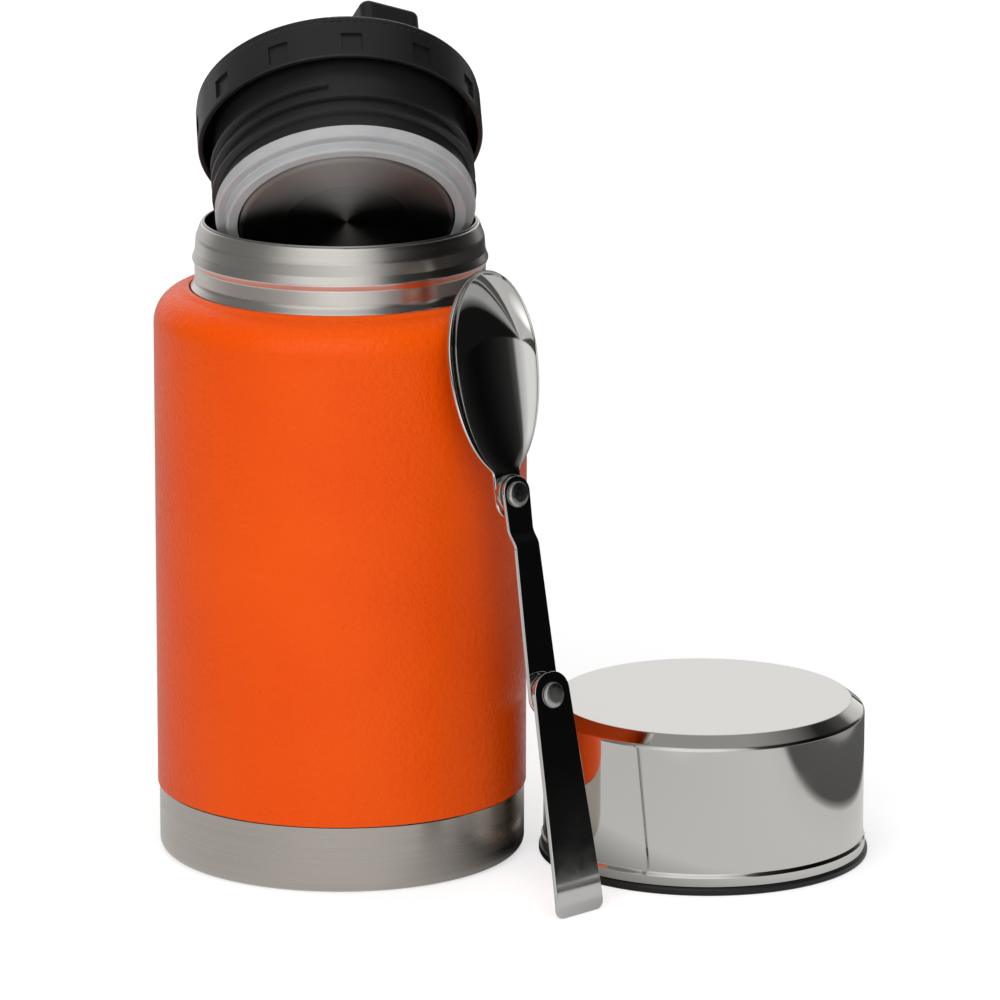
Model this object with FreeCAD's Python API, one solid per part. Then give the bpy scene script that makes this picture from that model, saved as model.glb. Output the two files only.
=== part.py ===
"""Insulated steel food jar with its screw-in stopper, drinking cup and folding spoon.

Millimetres, +Z up, origin at the centre of the jar's foot. The stopper lies tilted in the mouth,
the cup stands upside down beside the jar, and the spoon leans on the jar's wall.
"""
import FreeCAD, Part
import math
import os

from FreeCAD import Placement, Rotation, Vector

# Driving dimensions of the jar
body_radius = 50.0
coat_thickness = 0.35
coat_gap = 0.05
shell_wall = 0.8
border_height = 18.3
shoulder_height = 154.2
shoulder_drop = 2.0
shoulder_round = 9.0
coat_lip_width = 1.3
coat_lip_drop = 0.9
coat_lip_gap = 0.15
coat_lip_foot = 1.4
shoulder_width = 9.8
neck_inset = 1.3
neck_bead_step = 0.7
neck_bead_rise = 8.8
neck_bead_half = 1.9
neck_height = 18.65
neck_wall_space = 2.8
neck_flare_foot = 0.9
neck_flare_height = 2.6
neck_flare_inset = 0.2
neck_flare_round = 2.0
neck_taper = 0.35
neck_taper_drop = 4.2
neck_taper_round = 4.0
shell_rim_drop = 0.45
shell_rim_width = 0.45
shell_rim_gap = 0.05
liner_wall = 0.6
vacuum_gap = 2.0
liner_floor_height = 9.0
liner_bottom_round = 9.0
liner_neck_round = 2.0

# Driving dimensions of the jar's foot
band_inset = 0.5
band_wall = 0.8
band_round = 3.0
foot_groove_inset = 11.5
foot_groove_width = 3.0
foot_groove_depth = 0.9
foot_groove_slope = 0.8
border_joggle = 1.0
border_seam = 0.1
spigot_end_drop = 2.0
cap_seat_gap = 0.1
plate_height = 5.0
plate_thickness = 1.0
seal_dimple_radius = 6.0
seal_dimple_depth = 1.4
seal_bead_radius = 4.5
getter_radius = 6.0
getter_thickness = 1.4
getter_offset = 20.0

# Threads that join the stopper and the neck
thread_pitch = 4.3
neck_thread_turns = 1.15
neck_thread_drop = 14.25
thread_bite = 0.25
thread_crest_share = 0.4
neck_thread_depth = 1.4
neck_thread_width = 2.0
plug_thread_turns = 2.75
plug_thread_rise = 1.6
plug_thread_depth = 1.4
plug_thread_root = 2.2
plug_thread_crest = 0.8

# Driving dimensions of the stopper, measured up its own axis from the steel pan's face
skirt_inset = 0.9
skirt_wall = 1.5
skirt_low = 26.8
skirt_depth = 11.4
channel_roof = 3.6
plug_clearance = 2.5
plug_wall = 2.0
plug_floor_low = 7.0
plug_floor_thickness = 2.0
gasket_clearance = 1.6
gasket_collar_step = 2.9
gasket_collar_wall = 2.0
gasket_ledge = 3.2
gasket_low = 0.5
gasket_lip_thickness = 0.5
gasket_lip_gap = 0.3
gasket_gap = 0.15
spigot_wall = 1.0
spigot_low = 1.15
pan_gap = 0.15
pan_wall = 0.5
pan_depth = 6.4
pan_round = 1.6
pan_step_radius = 15.6
pan_step_depth = 0.5
cover_thickness = 1.9
cover_inset = 0.25
cover_round = 0.8
cover_spigot_depth = 2.2
cover_spigot_wall = 2.0
parting_gap = 0.15
foam_gap = 0.3
notch_count = 12
notch_width = 5.6
notch_height = 5.8
notch_depth = 0.8
notch_low = 1.5
notch_phase = 11.3
grip_end_inset = 4.0
grip_end_width = 17.4
grip_waist_width = 12.5
grip_height = 8.6
grip_corner = 2.6
grip_waist_round = 60.0
grip_edge_round = 1.6
grip_azimuth = 32.5

# Where the stopper lies in the mouth
stopper_tilt = 47.0
stopper_side_lean = -6.8
stopper_side_shift = 2.3
stopper_front_inset = 18.1
stopper_rise = 2.35

# Driving dimensions of the cup, measured up from the table
cup_gap = 3.6625
cup_azimuth = -2.976
cup_height = 43.06
cup_wall_space = 3.06
cup_bevel_width = 3.76
cup_bevel_height = 3.0
cup_hem_step = 0.54
cup_hem_height = 5.6
cup_wall = 0.6
cup_bore_clearance = 0.7
cup_roof = 3.26
cup_bore_round = 3.5
bowl_wall = 0.5
cup_ring_step = 0.67
cup_ring_height = 2.2
cup_ring_lip_step = 0.35
cup_ring_upstand = 4.5
cup_ring_gap = 0.15

# Driving dimensions of the folding spoon, measured up its own length from the foot
plate_gauge = 1.2
washer_gauge = 1.5
layer_gap = 0.15
link_step = 1.8
link_step_from = 9.0
link_step_length = 5.0
handle_length = 58.6
handle_foot_width = 16.8
handle_pivot_width = 12.2
handle_corner = 2.4
link_length = 53.2
link_low_width = 10.6
link_top_width = 9.6
link_waist_width = 8.4
stem_width = 9.4
stem_tail = 6.6
stem_length = 8.0
stem_blend_round = 10.0
stem_blend_length = 12.0
stem_blend_flare = 4.0
link_waist_round = 12.0
bowl_tip_reach = 59.1
bowl_half_width = 15.8
bowl_tip_length = 23.5
bowl_heel_length = 30.2
bowl_depth = 7.2
bowl_gauge = 1.0
rivet_radius = 1.5
rivet_head_radius = 3.5
rivet_head_height = 1.1
rivet_head_chamfer = 0.9
rivet_head_round = 0.5
pivot_clearance = 0.05
washer_radius = 5.3
cut_margin = 1.0
handle_angle = -0.4
link_angle = 1.1
bowl_angle = 1.3
end_rounding = 0.92

# Where the spoon leans
spoon_azimuth = -45.6
spoon_lean = 10.8
lean_gap = 0.4
back_samples = 400

# Sizes that follow from the ones above
coat_depth = coat_thickness + coat_gap
shell_radius = body_radius - coat_depth
band_radius = body_radius - band_inset
foot_groove_radius = band_radius - foot_groove_inset
spigot_end_radius = band_radius - band_wall - cap_seat_gap
liner_radius = shell_radius - shell_wall - vacuum_gap
neck_base_radius = body_radius - shoulder_width
neck_radius = neck_base_radius - neck_inset
neck_bead_radius = neck_radius + neck_bead_step
neck_bead_height = shoulder_height + neck_bead_rise
rim_height = shoulder_height + neck_height
mouth_radius = neck_radius - neck_wall_space
neck_liner_radius = mouth_radius + liner_wall
neck_thread_start = rim_height - neck_thread_drop
skirt_radius = neck_radius - skirt_inset
skirt_high = skirt_low + skirt_depth
channel_top = skirt_high - channel_roof
plug_radius = mouth_radius - plug_clearance
plug_floor_high = plug_floor_low + plug_floor_thickness
plug_thread_start = plug_floor_low + plug_thread_rise
gasket_radius = mouth_radius - gasket_clearance
gasket_collar_radius = gasket_radius - gasket_collar_step
spigot_radius = gasket_collar_radius - gasket_collar_wall
grip_length = 2 * (skirt_radius - grip_end_inset)
stopper_place = Vector(stopper_side_shift, stopper_front_inset - mouth_radius, rim_height + stopper_rise)
cup_bore_radius = neck_bead_radius + cup_bore_clearance
cup_bore_height = cup_height - cup_roof
cup_radius = cup_bore_radius + cup_wall_space
cup_face_radius = cup_radius - cup_bevel_width
cup_hem_radius = cup_radius + cup_hem_step
cup_ring_radius = cup_hem_radius + cup_ring_step
cup_ring_lip = cup_bore_radius - cup_ring_lip_step
cup_reach = body_radius + cup_gap + cup_ring_radius
cup_turn = math.radians(cup_azimuth)
cup_centre = Vector(cup_reach * math.cos(cup_turn), cup_reach * math.sin(cup_turn), 0)
layer_pitch = plate_gauge + washer_gauge + 2 * layer_gap
link_plane = -layer_pitch
link_top_plane = link_plane - link_step
stem_plane = link_top_plane - layer_pitch

AXIS = Vector(0, 0, 1)


def corner_points(before, corner, after, radius):
    """Give the start, middle and end of the arc that rounds one corner of an outline."""
    inward = (before - corner).normalize()
    outward = (after - corner).normalize()
    half_turn = inward.getAngle(outward) / 2
    reach = radius / math.tan(half_turn)
    middle_way = (inward + outward).normalize()
    middle = corner + middle_way * (radius / math.sin(half_turn) - radius)
    return corner + inward * reach, middle, corner + outward * reach


def rounded_wire(corners, upright):
    """Join (across, along, rounding) corners into a closed wire, upright in XZ or flat in XY."""
    points = [Vector(a, 0, b) if upright else Vector(a, b, 0) for a, b, _ in corners]
    count = len(points)
    arcs = []
    for index, (_, _, radius) in enumerate(corners):
        if radius > 0:
            arc = corner_points(points[index - 1], points[index], points[(index + 1) % count], radius)
        else:
            arc = (points[index], None, points[index])
        arcs.append(arc)
    edges = []
    for index, (start, middle, end) in enumerate(arcs):
        if middle is not None:
            edges.append(Part.Arc(start, middle, end).toShape())
        following = arcs[(index + 1) % count][0]
        if (following - end).Length > 1e-6:
            edges.append(Part.LineSegment(end, following).toShape())
    return Part.Wire(edges)


def turned(corners):
    """Turn an outline of (radius, height, rounding) corners about the Z axis."""
    return Part.Face(rounded_wire(corners, True)).revolve(Vector(0, 0, 0), AXIS, 360)


def plate(corners, low, thickness):
    """Cut a flat plate with rounded corners, from the height low upwards."""
    solid = Part.Face(rounded_wire(corners, False)).extrude(Vector(0, 0, thickness))
    solid.translate(Vector(0, 0, low))
    return solid


def rod(radius, low, high, across=0.0, along=0.0):
    """Make an upright round rod between two heights."""
    return Part.makeCylinder(radius, high - low, Vector(across, along, low))


def thread_ridge(radius, depth, root_width, crest_width, pitch, turns, start, inward):
    """Sweep a helical ridge that stands on a cylinder, outwards or into its bore."""
    side = -1 if inward else 1
    root = radius - side * thread_bite
    crest = radius + side * depth
    helix = Part.makeHelix(pitch, pitch * turns, radius)
    outline = [
        Vector(root, 0, -root_width / 2),
        Vector(crest, 0, -crest_width / 2),
        Vector(crest, 0, crest_width / 2),
        Vector(root, 0, root_width / 2),
    ]
    profile = Part.makePolygon(outline + outline[:1])
    ridge = Part.Wire(helix.Edges).makePipeShell([profile], True, True)
    ridge.translate(Vector(0, 0, start))
    return ridge


def shoulder(inset):
    """Outer corner of the shoulder, with its rounding, set in from the coat's surface."""
    return body_radius - inset, shoulder_height - shoulder_drop - inset, shoulder_round - inset


def make_outer_shell():
    """Drawn steel body: the wall under the coat, the shoulder and the bare neck."""
    top = rim_height - shell_rim_drop
    outside = [
        (spigot_end_radius, plate_height - spigot_end_drop, 0),
        (spigot_end_radius, border_height + border_seam, 0.4 * border_joggle),
        (shell_radius, border_height + border_seam + border_joggle, 0.4 * border_joggle),
        shoulder(coat_depth),
        (neck_base_radius, shoulder_height - coat_depth, 0.3),
        (neck_base_radius - neck_flare_inset, shoulder_height + neck_flare_foot, 0.5),
        (neck_radius, shoulder_height + neck_flare_height, neck_flare_round),
        (neck_radius, neck_bead_height - neck_bead_half, 1.0),
        (neck_bead_radius, neck_bead_height - 0.2, 0.8),
        (neck_radius - 0.05, neck_bead_height + neck_bead_half, 1.0),
        (neck_radius - neck_taper, rim_height - neck_taper_drop, neck_taper_round),
        (neck_liner_radius + shell_rim_width, top, 0.35),
        (neck_liner_radius + shell_rim_gap, top, 0),
    ]
    inside = [
        (neck_liner_radius + shell_rim_gap, top - shell_wall, 0),
        (neck_radius - neck_taper - shell_wall, rim_height - neck_taper_drop - shell_wall, neck_taper_round / 2),
        (neck_radius - shell_wall, neck_bead_height, 1.0),
        (neck_radius - shell_wall, shoulder_height - shell_wall - coat_depth, 1.0),
        shoulder(coat_depth + shell_wall),
        (shell_radius - shell_wall, border_height + border_seam + 2 * border_joggle, 0.6),
        (spigot_end_radius - shell_wall, border_height, 0.6),
        (spigot_end_radius - shell_wall, plate_height - spigot_end_drop, 0),
    ]
    return turned(outside + inside)


def make_powder_coat():
    """Baked coat on the wall and shoulder, with its raised edge around the neck."""
    low = border_height + 0.25
    skin = body_radius - coat_thickness
    edge = neck_base_radius + coat_lip_gap
    return turned([
        (skin, low, 0),
        (body_radius, low, 0.15),
        shoulder(0),
        (edge + coat_lip_width + coat_lip_foot, shoulder_height, 0.6),
        (edge + coat_lip_width, shoulder_height + coat_lip_drop, 0.4),
        (edge, shoulder_height + coat_lip_drop, 0.2),
        (edge, shoulder_height - coat_thickness, 0),
        shoulder(coat_thickness),
    ])


def make_inner_flask():
    """Inner steel vessel that holds the food, with the rolled thread in its neck."""
    depth = coat_depth + shell_wall + vacuum_gap
    outside = [
        (0, liner_floor_height, 0),
        (liner_radius, liner_floor_height, liner_bottom_round),
        shoulder(depth),
        (neck_liner_radius, shoulder_height - depth, liner_neck_round),
        (neck_liner_radius, rim_height, 0.25),
    ]
    inside = [
        (mouth_radius, rim_height, 0.25),
        (mouth_radius, shoulder_height - depth - liner_wall, liner_neck_round + liner_wall),
        shoulder(depth + liner_wall),
        (liner_radius - liner_wall, liner_floor_height + liner_wall, liner_bottom_round - liner_wall),
        (0, liner_floor_height + liner_wall, 0),
    ]
    flask = turned(outside + inside)
    ridge = thread_ridge(mouth_radius, neck_thread_depth, neck_thread_width, neck_thread_width * thread_crest_share,
                         thread_pitch, neck_thread_turns, neck_thread_start, True)
    return flask.fuse(ridge)


def make_base_plate():
    """Disc that closes the vacuum space, with the dimple that takes the seal."""
    low = plate_height
    high = plate_height + plate_thickness
    return turned([
        (0, low + seal_dimple_depth, 0),
        (seal_dimple_radius - 1.0, low + seal_dimple_depth, 0.4),
        (seal_dimple_radius, low, 0.4),
        (spigot_end_radius - shell_wall - cap_seat_gap, low, 0),
        (spigot_end_radius - shell_wall - cap_seat_gap, high, 0),
        (seal_dimple_radius + 1.2, high, 0.6),
        (seal_dimple_radius, high + seal_dimple_depth, 0.6),
        (0, high + seal_dimple_depth, 0),
    ])


def make_vacuum_seal():
    """Solidified bead that seals the evacuation hole, in the plate's dimple."""
    ceiling = plate_height + seal_dimple_depth - cap_seat_gap
    return turned([
        (0, ceiling - 1.1, 0),
        (seal_bead_radius, ceiling - 1.1, 0.9),
        (seal_bead_radius, ceiling, 0),
        (0, ceiling, 0),
    ])


def make_getter():
    """Gas-absorbing pellet in the vacuum space, on the base plate."""
    low = plate_height + plate_thickness
    high = low + getter_thickness
    pellet = turned([(0, low, 0), (getter_radius, low, 0), (getter_radius, high, 0.4), (0, high, 0)])
    pellet.translate(Vector(getter_offset, 0, 0))
    return pellet


def make_base_cap():
    """Bare steel cup that is pressed over the lower end of the shell and forms the foot."""
    groove_in = foot_groove_radius - foot_groove_width
    return turned([
        (0, 0, 0),
        (groove_in, 0, 0.3),
        (groove_in + foot_groove_slope, foot_groove_depth, 0.3),
        (foot_groove_radius - foot_groove_slope, foot_groove_depth, 0.3),
        (foot_groove_radius, 0, 0.3),
        (band_radius, 0, band_round),
        (band_radius, border_height, 0.15),
        (band_radius - band_wall, border_height, 0),
        (band_radius - band_wall, band_wall, band_round - band_wall),
        (foot_groove_radius + 0.6, band_wall, 0.3),
        (foot_groove_radius - 0.4, band_wall + foot_groove_depth, 0.3),
        (groove_in + 0.4, band_wall + foot_groove_depth, 0.3),
        (groove_in - 0.6, band_wall, 0.3),
        (0, band_wall, 0),
    ])


def notch_cutters():
    """Blocks that cut the row of shallow recesses around the stopper's skirt."""
    cutters = []
    for index in range(notch_count):
        block = Part.makeBox(notch_width, notch_depth + cut_margin, notch_height,
                             Vector(-notch_width / 2, -skirt_radius - cut_margin, 0))
        block.translate(Vector(0, 0, skirt_low + notch_low))
        block.rotate(Vector(0, 0, 0), AXIS, notch_phase + index * 360 / notch_count)
        cutters.append(block)
    return Part.makeCompound(cutters)


def make_stopper_shell():
    """Moulded stopper body: skirt, threaded plug and the spigot that carries the gasket."""
    bore = plug_radius - plug_wall
    spigot_bore = spigot_radius - spigot_wall
    body = turned([
        (spigot_bore, spigot_low, 0.15),
        (spigot_radius, spigot_low, 0.15),
        (spigot_radius, plug_floor_low, 0),
        (plug_radius, plug_floor_low, 0.3),
        (plug_radius, channel_top, 0.8),
        (skirt_radius - skirt_wall, channel_top, 0.8),
        (skirt_radius - skirt_wall, skirt_low, 0.3),
        (skirt_radius, skirt_low, 0.4),
        (skirt_radius, skirt_high, 0.3),
        (bore, skirt_high, 0),
        (bore, plug_floor_high, 0.5),
        (spigot_bore, plug_floor_high, 0),
    ])
    ridge = thread_ridge(plug_radius, plug_thread_depth, plug_thread_root, plug_thread_crest,
                         thread_pitch, plug_thread_turns, plug_thread_start, False)
    return body.fuse(ridge).cut(notch_cutters())


def make_stopper_cover():
    """Round cover plate that closes the stopper's top."""
    low = skirt_high + parting_gap
    spigot = plug_radius - plug_wall - parting_gap
    return turned([
        (0, low, 0),
        (spigot - cover_spigot_wall, low, 0),
        (spigot - cover_spigot_wall, low - cover_spigot_depth, 0.2),
        (spigot, low - cover_spigot_depth, 0.3),
        (spigot, low, 0),
        (skirt_radius - cover_inset, low, 0.1),
        (skirt_radius - cover_inset, low + cover_thickness, cover_round),
        (0, low + cover_thickness, 0),
    ])


def make_stopper_grip():
    """Raised grip bar across the cover, narrower at the middle for the fingers."""
    low = skirt_high + parting_gap + cover_thickness
    half = grip_length / 2
    end = grip_end_width / 2
    waist = grip_waist_width / 2
    bar = plate([
        (-half, -end, grip_corner), (0, -waist, grip_waist_round), (half, -end, grip_corner),
        (half, end, grip_corner), (0, waist, grip_waist_round), (-half, end, grip_corner),
    ], low, grip_height)
    top_edges = [e for e in bar.Edges if abs(e.BoundBox.ZMin - low - grip_height) < 1e-6]
    bar = bar.makeFillet(grip_edge_round, top_edges)
    bar.rotate(Vector(0, 0, 0), AXIS, grip_azimuth - 90)
    return bar


def make_stopper_foam():
    """Insulating foam disc inside the stopper."""
    radius = plug_radius - plug_wall - foam_gap
    low = plug_floor_high + foam_gap
    high = skirt_high + parting_gap - cover_spigot_depth - foam_gap
    return turned([(0, low, 0), (radius, low, 0.8), (radius, high, 0.8), (0, high, 0)])


def make_stopper_pan():
    """Drawn steel pan that closes the stopper's underside, with a shallow round step."""
    radius = spigot_radius - spigot_wall - pan_gap
    return turned([
        (0, pan_step_depth, 0),
        (pan_step_radius, pan_step_depth, 0.3),
        (pan_step_radius + 0.5, 0, 0.3),
        (radius, 0, pan_round),
        (radius, pan_depth, 0.1),
        (radius - pan_wall, pan_depth, 0.1),
        (radius - pan_wall, pan_wall, pan_round - pan_wall),
        (pan_step_radius, pan_wall, 0.3),
        (pan_step_radius - 0.5, pan_wall + pan_step_depth, 0.3),
        (0, pan_wall + pan_step_depth, 0),
    ])


def make_stopper_gasket():
    """Stepped silicone ring around the stopper's spigot."""
    inner = spigot_radius + gasket_gap
    high = plug_floor_low - gasket_gap
    lip = spigot_radius - spigot_wall - pan_gap + gasket_lip_gap
    lip_top = gasket_low + gasket_lip_thickness
    return turned([
        (inner, lip_top, 0),
        (lip, lip_top, 0.1),
        (lip, gasket_low, 0.2),
        (gasket_collar_radius, gasket_low, 0.7),
        (gasket_collar_radius + 0.2, gasket_ledge, 0.4),
        (gasket_radius, gasket_ledge, 0.8),
        (gasket_radius, high, 0.5),
        (inner, high, 0.1),
    ])


def make_cup_shell():
    """Polished outer wall and flat face of the cup, drawn in one piece."""
    low = cup_ring_height + cup_ring_gap
    top = cup_height - cup_wall
    shift = cup_wall * 0.45
    return turned([
        (0, cup_height, 0),
        (cup_face_radius, cup_height, 0.6),
        (cup_radius, cup_height - cup_bevel_height, 1.2),
        (cup_radius, cup_hem_height, 0.8),
        (cup_hem_radius, cup_hem_height - 0.8, 0.6),
        (cup_hem_radius, low, 0.1),
        (cup_hem_radius - cup_wall, low, 0.1),
        (cup_hem_radius - cup_wall, cup_hem_height - 1.0, 0.4),
        (cup_radius - cup_wall, cup_hem_height - 0.2, 0.4),
        (cup_radius - cup_wall, top - cup_bevel_height + shift, 0.6),
        (cup_face_radius - shift, top, 0.3),
        (0, top, 0),
    ])


def make_cup_bowl():
    """Inner steel bowl of the double-walled cup."""
    low = cup_ring_height + cup_ring_gap
    outer = cup_bore_radius + bowl_wall
    top = cup_bore_height + bowl_wall
    return turned([
        (0, cup_bore_height, 0),
        (cup_bore_radius, cup_bore_height, cup_bore_round),
        (cup_bore_radius, low, 0.1),
        (outer, low, 0.1),
        (outer, top, cup_bore_round + bowl_wall),
        (0, top, 0),
    ])


def make_cup_ring():
    """Black ring on the cup's mouth, keyed up between the two walls."""
    key_in = cup_bore_radius + bowl_wall + cup_ring_gap
    key_out = cup_radius - cup_wall - cup_ring_gap
    key_top = cup_ring_height + cup_ring_upstand
    return turned([
        (cup_ring_lip, 0, 0.3),
        (cup_ring_radius, 0, 0.7),
        (cup_ring_radius, cup_ring_height, 0.7),
        (key_out, cup_ring_height, 0),
        (key_out, key_top, 0.2),
        (key_in, key_top, 0.2),
        (key_in, cup_ring_height, 0),
        (cup_ring_lip, cup_ring_height, 0.2),
    ])


def make_handle():
    """Flat end link that forms the spoon's handle, from its foot up to the lower rivet."""
    foot = handle_foot_width / 2
    top = handle_pivot_width / 2
    body = plate([
        (-foot, 0, handle_corner), (foot, 0, handle_corner),
        (top, handle_length + top, top * end_rounding), (-top, handle_length + top, top * end_rounding),
    ], -plate_gauge / 2, plate_gauge)
    return body.cut(rod(rivet_radius + pivot_clearance, -plate_gauge, plate_gauge, 0, handle_length))


def make_link():
    """Middle link, with the small joggle under the upper rivet."""
    low = link_low_width / 2
    top = link_top_width / 2
    waist = link_waist_width / 2
    step_low = link_length - link_step_from - link_step_length
    step_high = link_length - link_step_from
    half = plate_gauge / 2
    front = [(-low - 1, half), (step_low, half), (step_high, half - link_step),
             (link_length + top + 1, half - link_step)]
    back = [(y, z - plate_gauge) for y, z in reversed(front)]
    corners = [Vector(-link_low_width, y, z) for y, z in front + back]
    side = Part.Face(Part.makePolygon(corners + corners[:1]))
    strip = side.extrude(Vector(2 * link_low_width, 0, 0))
    outline = plate([
        (-low, -low, low * end_rounding), (low, -low, low * end_rounding),
        (waist, step_low, link_waist_round), (top, link_length + top, top * end_rounding),
        (-top, link_length + top, top * end_rounding), (-waist, step_low, link_waist_round),
    ], -link_step - plate_gauge, link_step + 2 * plate_gauge)
    link = strip.common(outline)
    for height in (0, link_length):
        link = link.cut(rod(rivet_radius + pivot_clearance, -link_step - plate_gauge, plate_gauge, 0, height))
    return link


def half_ellipsoid(width, length, depth, towards):
    """Quarter of an ellipsoid under the XY plane, on one side of its widest section."""
    ball = Part.makeSphere(1.0)
    corner = Vector(-2, 0 if towards > 0 else -2, -2)
    quarter = ball.common(Part.makeBox(4, 2, 2, corner))
    stretch = FreeCAD.Matrix()
    stretch.scale(width, length, depth)
    return quarter.transformGeometry(stretch)


def bowl_blank(inset):
    """Egg-shaped half body of the spoon's bowl, smaller all round by an inset."""
    tip = half_ellipsoid(bowl_half_width - inset, bowl_tip_length - inset, bowl_depth - inset, 1)
    heel = half_ellipsoid(bowl_half_width - inset, bowl_heel_length - inset, bowl_depth - inset, -1)
    blank = tip.fuse(heel)
    blank.translate(Vector(0, bowl_tip_reach - bowl_tip_length, 0))
    return blank


def make_bowl():
    """Spoon bowl with its short stem and the eye for the upper rivet."""
    half = stem_width / 2
    flare = half + stem_blend_flare
    blend_end = stem_length + stem_blend_length
    stem = plate([
        (-half, -stem_tail, half * end_rounding), (half, -stem_tail, half * end_rounding),
        (half, stem_length, stem_blend_round), (flare, blend_end, 0),
        (-flare, blend_end, 0), (-half, stem_length, stem_blend_round),
    ], -plate_gauge, plate_gauge)
    stem = stem.cut(rod(rivet_radius + pivot_clearance, -2 * plate_gauge, plate_gauge))
    return bowl_blank(0).fuse(stem).cut(bowl_blank(bowl_gauge))


def make_washer(low):
    """Spacer washer between two of the spoon's plates."""
    return rod(washer_radius, low, low + washer_gauge).cut(
        rod(rivet_radius + pivot_clearance, low - cut_margin, low + washer_gauge + cut_margin))


def make_rivet(low, high):
    """Pivot rivet with a low rounded head on each side of the stack."""
    head = rivet_head_height
    shank = [
        (0, low - head + 0.2, 0),
        (rivet_head_radius - rivet_head_chamfer, low - head + 0.2, 0.3),
        (rivet_head_radius, low, 0),
        (rivet_radius, low, 0),
        (rivet_radius, high, 0),
        (rivet_head_radius, high, 0.1),
        (rivet_head_radius - rivet_head_chamfer, high + head, rivet_head_round),
        (0, high + head, 0),
    ]
    return turned(shank)


def place_stopper(shape):
    """Lay a stopper piece tilted in the jar's mouth."""
    tilt = Rotation(Vector(1, 0, 0), -stopper_tilt)
    lean = Rotation(Vector(0, 1, 0), stopper_side_lean)
    shape.Placement = Placement(stopper_place, lean.multiply(tilt)).multiply(shape.Placement)
    return shape


def spoon_turn():
    """Rotation that stands the flat spoon up, leans it back and faces it outwards."""
    stand = Rotation(Vector(1, 0, 0), 90 - spoon_lean)
    face = Rotation(AXIS, spoon_azimuth + 90)
    return face.multiply(stand)


def wall_radius(height):
    """Outer radius of the jar at a height: its wall, its rounded shoulder, the coat's lip or the neck."""
    across, top, rounding = shoulder(0)
    lip = neck_base_radius + coat_lip_gap + coat_lip_width
    ledge = Vector(lip + coat_lip_foot, 0, shoulder_height)
    start, _, end = corner_points(Vector(across, 0, 0), Vector(across, 0, top), ledge, rounding)
    if height <= start.z:
        return body_radius
    if height <= end.z:
        return start.x - rounding + math.sqrt(rounding ** 2 - (height - start.z) ** 2)
    if height <= shoulder_height + coat_lip_drop:
        return lip
    return neck_bead_radius


def bowl_back():
    """Points down the middle of the bowl's back: length from the spoon's foot and depth."""
    centre = handle_length + link_length + bowl_tip_reach - bowl_tip_length
    points = []
    for index in range(back_samples + 1):
        share = 2 * index / back_samples - 1
        length = bowl_tip_length if share > 0 else bowl_heel_length
        points.append((centre + share * length, bowl_depth * math.sqrt(1 - share ** 2)))
    return points


def spoon_foot():
    """Foot of the spoon on the table, far enough out for the bowl's back to rest near the jar."""
    lean = math.radians(spoon_lean)
    lift = plate_gauge / 2 * math.sin(lean) + handle_foot_width / 2 * math.sin(math.radians(abs(handle_angle)))
    reach = 0
    for length, depth in bowl_back():
        plane = stem_plane + plate_gauge / 2 - depth
        height = lift + length * math.cos(lean) + plane * math.sin(lean)
        out = wall_radius(height) + length * math.sin(lean) - plane * math.cos(lean)
        reach = max(reach, out + lean_gap)
    azimuth = math.radians(spoon_azimuth)
    return Vector(reach * math.cos(azimuth), reach * math.sin(azimuth), lift)


def along(start, length, angle):
    """Point at a length from a start, turned clockwise from the spoon's long axis."""
    turn = math.radians(angle)
    return start + Vector(length * math.sin(turn), length * math.cos(turn), 0)


def place_spoon(shape, point, angle, plane):
    """Set a spoon piece on its pivot point and layer, then lean the spoon on the jar."""
    local = Placement(point + Vector(0, 0, plane), Rotation(AXIS, -angle))
    shape.Placement = Placement(spoon_foot(), spoon_turn()).multiply(local).multiply(shape.Placement)
    return shape


def make_spoon():
    """All pieces of the folding spoon, in place."""
    foot = Vector(0, 0, 0)
    lower_pivot = along(foot, handle_length, handle_angle)
    upper_pivot = along(lower_pivot, link_length, link_angle)
    half = plate_gauge / 2
    link_front = link_plane + half
    stem_front = stem_plane + half
    pieces = {
        "spoon_handle": place_spoon(make_handle(), foot, handle_angle, 0),
        "spoon_link": place_spoon(make_link(), lower_pivot, link_angle, link_plane),
        "spoon_bowl": place_spoon(make_bowl(), upper_pivot, bowl_angle, stem_front),
        "lower_washer": place_spoon(make_washer(link_front + layer_gap), lower_pivot, 0, 0),
        "upper_washer": place_spoon(make_washer(stem_front + layer_gap), upper_pivot, 0, 0),
        "lower_rivet": place_spoon(make_rivet(link_plane - half - layer_gap, half + layer_gap),
                                   lower_pivot, 0, 0),
        "upper_rivet": place_spoon(make_rivet(stem_plane - half - layer_gap,
                                              link_top_plane + half + layer_gap), upper_pivot, 0, 0),
    }
    frame = Placement(spoon_foot(), spoon_turn())
    print("spoon lower pivot", frame.multVec(lower_pivot), "upper pivot", frame.multVec(upper_pivot))
    print("spoon pivot axis", frame.Rotation.multVec(AXIS))
    return pieces


def make_parts():
    """All pieces of the set by name."""
    parts = {
        "outer_shell": make_outer_shell(),
        "powder_coat": make_powder_coat(),
        "inner_flask": make_inner_flask(),
        "base_plate": make_base_plate(),
        "vacuum_seal": make_vacuum_seal(),
        "getter": make_getter(),
        "base_cap": make_base_cap(),
    }
    stopper = {
        "stopper_shell": make_stopper_shell(),
        "stopper_cover": make_stopper_cover(),
        "stopper_grip": make_stopper_grip(),
        "stopper_foam": make_stopper_foam(),
        "stopper_pan": make_stopper_pan(),
        "stopper_gasket": make_stopper_gasket(),
    }
    for name, shape in stopper.items():
        parts[name] = place_stopper(shape)
    cup = {"cup_shell": make_cup_shell(), "cup_bowl": make_cup_bowl(), "cup_ring": make_cup_ring()}
    for name, shape in cup.items():
        shape.translate(cup_centre)
        parts[name] = shape
    parts.update(make_spoon())
    return parts


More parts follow.
